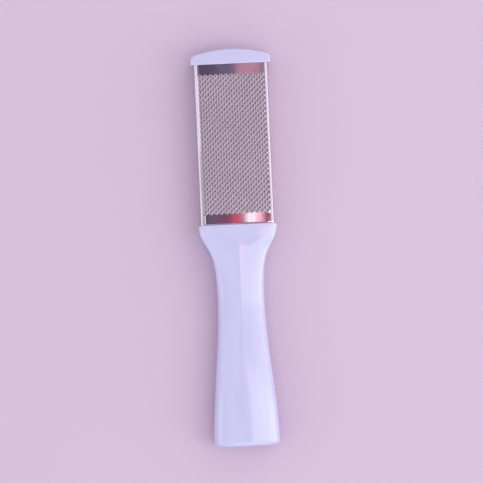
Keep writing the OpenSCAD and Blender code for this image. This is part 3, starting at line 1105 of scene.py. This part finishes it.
@dataclass
class EndCap:
    """The domed end cap with rounded edges and the socket that the rasp enters, in millimetres."""

    sizes: Sizes
    finish: Material
    cap_w: float = 28.4
    dome_rise: float = 2.4
    corner: float = 1.8
    edge_r: float = 1.0
    rim_round: float = 0.4
    crown_share: float = 0.09
    socket_depth: float = 1.2
    shy: float = 0.006
    side_shares: tuple[float, ...] = (0.0, 0.01, 0.03, 0.06, 0.1, 0.25, 0.5, 0.75)
    corner_points: int = 14
    dome_points: int = 90
    edge_points: int = 11
    sharp_deg: float = 40.0

    def outline(self) -> tuple[Array, Array, int]:
        """Outline seen from the front: a side, a corner round, the dome's arc, and the same back again.

        The dome's radius is the sum of the squares of half the width and the rise, over twice the rise.

        Returns:
            The points, the outward directions, and how many points each straight side has.
        """
        s = self.sizes
        half = self.cap_w / 2
        radius = (half**2 + self.dome_rise**2) / (2 * self.dome_rise)
        cx = s.x_tip - radius - self.shy
        ky = half - self.corner
        kx = cx + math.sqrt((radius - self.corner) ** 2 - ky**2)
        bend = math.atan2(ky, kx - cx)
        side_x = s.x_rim + (kx - s.x_rim) * np.array(self.side_shares)
        side = np.stack([side_x, np.full(len(side_x), half)], axis=1)
        a = np.linspace(math.pi / 2, bend, self.corner_points)
        turned = np.stack([kx + self.corner * np.cos(a), ky + self.corner * np.sin(a)], axis=1)
        b = np.linspace(bend, -bend, self.dome_points)[1:-1]
        dome = np.stack([cx + radius * np.cos(b), radius * np.sin(b)], axis=1)
        straight = np.full(len(side), math.pi / 2)
        turns = np.concatenate([straight, a, b, -a[::-1], -straight])
        points = np.concatenate([side, turned, dome, turned[::-1] * [1, -1], side[::-1] * [1, -1]])
        return points, np.stack([np.cos(turns), np.sin(turns)], axis=1), len(side)

    def shaped(self, points: Array) -> Array:
        """Rounds the edge at the rim and crowns the front.

        Width and thickness shrink by a quarter round over the first part of X. The front's height then
        loses a share that grows with the square of the distance from the middle line.

        Args:
            points: points about the joint plane.

        Returns:
            The moved points.
        """
        s = self.sizes
        run = np.clip(points[..., 0] - s.x_rim, 0.0, self.rim_round)
        less = round_loss(run, self.rim_round)
        out = points.copy()
        out[..., 1] = out[..., 1] * (1 - less / (self.cap_w / 2))
        out[..., 2] = out[..., 2] * (1 - less / s.z_mid)
        crown = 1 - self.crown_share * (out[..., 1] / (self.cap_w / 2)) ** 2
        out[..., 2] = np.where(out[..., 2] > 0, out[..., 2] * crown, out[..., 2])
        return out

    def build(self) -> None:
        """Makes the cap: a rounded band carried round the outline, two faces, the rim and the socket."""
        s = self.sizes
        line, out, straight = self.outline()
        a = np.radians(np.linspace(90.0, 0.0, self.edge_points))
        height = s.z_mid - self.edge_r + self.edge_r * np.sin(a)
        profile = np.stack([self.edge_r * np.cos(a), height], axis=1)
        profile = np.concatenate([profile, profile[::-1] * [1, -1]])
        inner = line - self.edge_r * out
        band = np.zeros((len(line), len(profile), 3))
        band[:, :, :2] = inner[:, None, :] + out[:, None, :] * profile[None, :, :1]
        band[:, :, 2] = profile[None, :, 1]
        skin = Skin("end_cap_skin")
        shell = skin.grid(self.shaped(band))
        arch = inner[straight:-straight]
        steps = (inner[: straight + 1, 0] - s.x_rim) / (inner[straight, 0] - s.x_rim)
        loops = {}
        for side in Side:
            face = np.zeros((len(steps), len(arch), 3))
            face[:, :, 0] = s.x_rim + (arch[None, :, 0] - s.x_rim) * steps[:, None]
            face[:, :, 1] = arch[None, :, 1]
            face[:, :, 2] = side.value * s.z_mid
            loops[side] = skin.grid(self.shaped(face))[0]
        under = loops[Side.BACK][::-1]
        rim = np.concatenate([loops[Side.FRONT], shell[-1][1:], under[1:], shell[0][::-1][1:-1]])
        edge = np.concatenate(skin.points)[rim]
        hole = s.socket(edge[:, 1:])
        rows = np.stack([edge, placed(s.x_rim, hole), placed(s.x_rim + self.socket_depth, hole)])
        n = skin.grid(np.concatenate([rows, rows[:, :1]], axis=1))
        skin.rings(n[-1][:-1])
        skin.stand(s.z_mid, Side.FRONT)
        piece = skin.build(self.finish, self.sharp_deg)
        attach(piece, "root")
        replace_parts(piece, "end_cap")


# Core


@dataclass
class Core:
    """The moulded core, whose solid stays and shows only as a thin line between the plates."""

    finish: Material

    def build(self) -> None:
        """Dresses the solid."""
        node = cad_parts["head_core"]
        node.data.materials.clear()
        node.data.materials.append(self.finish)
        LOG.info("%s: solid kept and dressed", node.name)


# Studio


@dataclass(frozen=True)
class Lamp:
    """One soft box or card: its place, what it faces, its size in metres, its colour and its radiance."""

    name: str
    place: Place
    aim: Place
    size: tuple[float, float]
    colour: Colour
    radiance: float

    def build(self) -> None:
        """Makes a rectangle turned to its aim, with a power of four times its radiance times its area."""
        data = bpy.data.lights.new(self.name, "AREA")
        data.shape = "RECTANGLE"
        data.size, data.size_y = self.size
        data.color = self.colour
        data.energy = 4.0 * self.radiance * self.size[0] * self.size[1]
        lamp = linked(self.name, data)
        look = Vector(self.aim) - Vector(self.place)
        lamp.rotation_euler = look.to_track_quat("-Z", "Y").to_euler()
        lamp.location = self.place


@dataclass(frozen=True)
class CardRow:
    """Small lit cards side by side that face straight down, for one stretch of the file to reflect.

    The row's middle along the file, its length and its height are in metres. Each card has a name, where it
    starts and ends across the file, and its radiance in red, green and blue.
    """

    x: float
    length: float
    cards: tuple[tuple[str, float, float, Colour], ...]
    height: float = 1.29

    def lamps(self) -> list[Lamp]:
        """Works out the cards as lamps, each with its strongest colour as its radiance.

        Returns:
            The lamps.
        """
        out = []
        for name, start, end, glow in self.cards:
            y = (start + end) / 2
            most = max(glow)
            colour = tuple(part / most for part in glow)
            size = (self.length, end - start)
            out.append(Lamp(name, (self.x, y, self.height), (self.x, y, 0.0), size, colour, most))
        return out


LAMPS = (
    Lamp("handle_key", (-0.6, -1.7, 0.8), (-0.6, 0.0, 0.0), (1.2, 1.5), (1.0, 0.985, 0.93), 1.8),
    Lamp("handle_panel", (-0.269, -0.66, 1.3), (-0.269, -0.66, 0.0), (0.562, 1.14), (1.0, 0.99, 0.94), 1.28),
    Lamp("left_panel", (0.02, 0.19, 1.3), (0.02, 0.19, 0.0), (0.1, 0.12), (1.0, 1.0, 1.0), 0.6),
    Lamp("head_key", (1.44, -0.9, 1.0), (0.06, 0.0, 0.0), (1.0, 0.8), (1.0, 0.99, 1.0), 1.4),
    Lamp("rail_box", (0.525, -1.6, 0.84), (0.525, 0.0, 0.0), (1.02, 1.2), (1.0, 0.99, 1.0), 0.6),
    Lamp("rail_panel", (0.27, -0.83, 1.3), (0.27, -0.83, 0.0), (0.51, 0.3), (1.0, 0.99, 1.0), 0.5),
    Lamp("rail_fill", (0.525, 1.56, 1.0), (0.525, 0.0, 0.0), (1.02, 1.4), (0.99, 0.98, 1.0), 0.36),
    Lamp("rail_glow", (0.3025, 0.6, 1.3), (0.3025, 0.6, 0.0), (0.445, 0.5), (0.99, 0.98, 1.0), 0.5),
    Lamp("handle_fill", (-0.6, 1.6, 0.84), (-0.6, 0.0, 0.0), (1.2, 1.0), (0.8, 0.94, 1.0), 1.0),
    Lamp("butt_box", (-1.65, -0.3, 0.8), (-0.05, 0.0, 0.0), (1.2, 0.8), (0.85, 0.94, 1.0), 1.0),
)
UPPER_BAND_CARDS = CardRow(
    x=0.14,
    length=0.18,
    cards=(
        ("slate", -0.006, 0.02, (0.05, 0.05, 0.07)),
        ("rose", -0.032, -0.006, (0.5, 0.235, 0.235)),
        ("dusk", -0.05, -0.032, (0.4, 0.17, 0.16)),
        ("ember", -0.3, -0.05, (0.26, 0.15, 0.18)),
    ),
)
LOWER_BAND_CARDS = CardRow(
    x=0.025,
    length=0.034,
    cards=(
        ("plum", 0.03, 0.06, (0.04, 0.02, 0.025)),
        ("wine", 0.01, 0.03, (0.11, 0.0, 0.006)),
        ("red", -0.0065, 0.01, (0.6, 0.0, 0.02)),
        ("white", -0.0255, -0.0105, (1.42, 1.36, 1.32)),
        ("blush", -0.036, -0.0255, (1.2, 0.52, 0.53)),
        ("rust", -0.052, -0.036, (0.2, 0.03, 0.02)),
        ("umber", -0.3, -0.052, (0.2, 0.03, 0.03)),
    ),
)
RIDGE_CARDS = CardRow(x=-0.013, length=0.03, cards=(("ridge_strip", -0.1, -0.05, (6.2, 1.35, 2.7)),))


@dataclass
class Studio:
    """Floor, sky, lamps and the camera straight above the file, in metres."""

    lean_deg: float = 2.6
    lens: float = 220.0
    sensor: float = 36.0
    near: float = 0.01
    span: float = 0.1706
    centre: tuple[float, float] = (0.0022, -0.0011)
    level: float = 0.0094
    floor_half: float = 1.6
    floor_rise: float = 0.02
    floor_lines: int = 65
    floor_finish: PaleFloor = PaleFloor("pale_floor", (0.585, 0.45, 0.595))
    sky_axis: Place = (0.0, -0.045, 0.999)
    sky_stops: tuple[tuple[float, Colour], ...] = (
        (0.0, (0.9, 0.89, 0.92)),
        (0.6, (0.82, 0.81, 0.84)),
        (0.95, (0.72, 0.71, 0.73)),
        (0.97, (0.45, 0.44, 0.47)),
        (0.987, (0.19, 0.165, 0.24)),
        (0.993, (0.155, 0.13, 0.2)),
    )

    def camera(self) -> None:
        """Sets the camera above the file with the head at the top of the picture, leaning to the left.

        Its distance is the lens over the sensor's width, times the width that the picture spans at the
        object.
        """
        data = bpy.data.cameras.new("camera")
        data.lens = self.lens
        data.sensor_width = self.sensor
        data.clip_start = self.near
        camera = linked("camera", data)
        a = math.radians(self.lean_deg)
        right = Vector((-math.sin(a), -math.cos(a), 0.0))
        up = Vector((math.cos(a), -math.sin(a), 0.0))
        turn = Matrix((right, up, Vector((0.0, 0.0, 1.0)))).transposed()
        height = self.level + self.lens / self.sensor * self.span
        camera.matrix_world = Matrix.Translation((*self.centre, height)) @ turn.to_4x4()
        bpy.context.scene.camera = camera

    def floor(self) -> None:
        """Lays a floor that is gently dished, by the fourth power of the distance from its middle."""
        run = np.linspace(-self.floor_half, self.floor_half, self.floor_lines)
        x, y = np.meshgrid(run, run, indexing="ij")
        z = self.floor_rise * (np.hypot(x, y) / self.floor_half) ** 4
        points = np.stack([x, y, z], axis=-1).reshape(-1, 3)
        faces = grid_faces(np.arange(x.size).reshape(x.shape)).reshape(-1, 4)
        mesh = bpy.data.meshes.new("floor")
        mesh.from_pydata(points.tolist(), [], faces.tolist())
        mesh.materials.append(self.floor_finish.material())
        piece = linked("floor", mesh)

    def sky(self) -> None:
        """Sets the surroundings, dim straight overhead and paler towards the horizon.

        The colour is a ramp over the cosine of the angle from an axis that leans to the picture's right.
        """
        world = bpy.data.worlds.new("studio")
        bpy.context.scene.world = world
        world.use_nodes = True
        tree = world.node_tree
        tree.nodes.clear()
        place = tree.nodes.new("ShaderNodeTexCoord")
        angle = tree.nodes.new("ShaderNodeVectorMath")
        angle.operation = "DOT_PRODUCT"
        angle.inputs[1].default_value = self.sky_axis
        ramp = tree.nodes.new("ShaderNodeValToRGB")
        back = tree.nodes.new("ShaderNodeBackground")
        out = tree.nodes.new("ShaderNodeOutputWorld")
        stops = ramp.color_ramp.elements
        for cosine, colour in self.sky_stops:
            stop = stops[0] if cosine == 0.0 else stops.new(cosine)
            stop.position = cosine
            stop.color = (*colour, 1.0)
        # The last stop is the one that the ramp came with
        stops.remove(stops[-1])
        tree.links.new(place.outputs["Generated"], angle.inputs[0])
        tree.links.new(angle.outputs["Value"], ramp.inputs[0])
        tree.links.new(ramp.outputs[0], back.inputs["Color"])
        tree.links.new(back.outputs[0], out.inputs["Surface"])

    def build(self) -> None:
        """Makes the whole studio."""
        self.camera()
        self.floor()
        self.sky()
        for lamp in LAMPS:
            lamp.build()
        for row in (UPPER_BAND_CARDS, LOWER_BAND_CARDS, RIDGE_CARDS):
            for lamp in row.lamps():
                lamp.build()
        bpy.context.scene.view_settings.view_transform = "Standard"


SHELL_PLASTIC = MouldedPlastic(
    "lavender_plastic", colour=(0.528, 0.518, 0.755), gloss=(0.08, 0.12), peel_depth=2e-6, under_weight=0.05
)
CORE_PLASTIC = MouldedPlastic(
    "core_plastic", colour=(0.72, 0.7, 0.86), gloss=(0.35, 0.5), peel_depth=8e-6, under_weight=0.0
)
# Painted shade darkens the punched field and its holes, and a painted highlight lightens the lips
STEEL = PunchedSteel(
    "punched_steel",
    colour=(0.66, 0.59, 0.675),
    painted_shade_colour=(0.26, 0.19, 0.26),
    gloss=(0.03, 0.06),
    field_dull=0.37,
    field_painted_shade=0.57,
    tip_painted_highlight=0.42,
)


def main() -> None:
    """Builds the file piece by piece, then the studio."""
    logging.basicConfig(level=logging.INFO, format="%(message)s")
    plastic = SHELL_PLASTIC.material()
    inner = CORE_PLASTIC.material()
    steel = STEEL.material()
    Handle(SIZES, plastic).build()
    RaspPlate(SIZES, steel, COARSE, Side.FRONT, "coarse_sheet", "coarse_plate").build()
    RaspPlate(SIZES, steel, FINE, Side.BACK, "fine_sheet", "fine_plate").build()
    EndCap(SIZES, plastic).build()
    Core(inner).build()
    Studio().build()


if __name__ == "__main__":
    main()
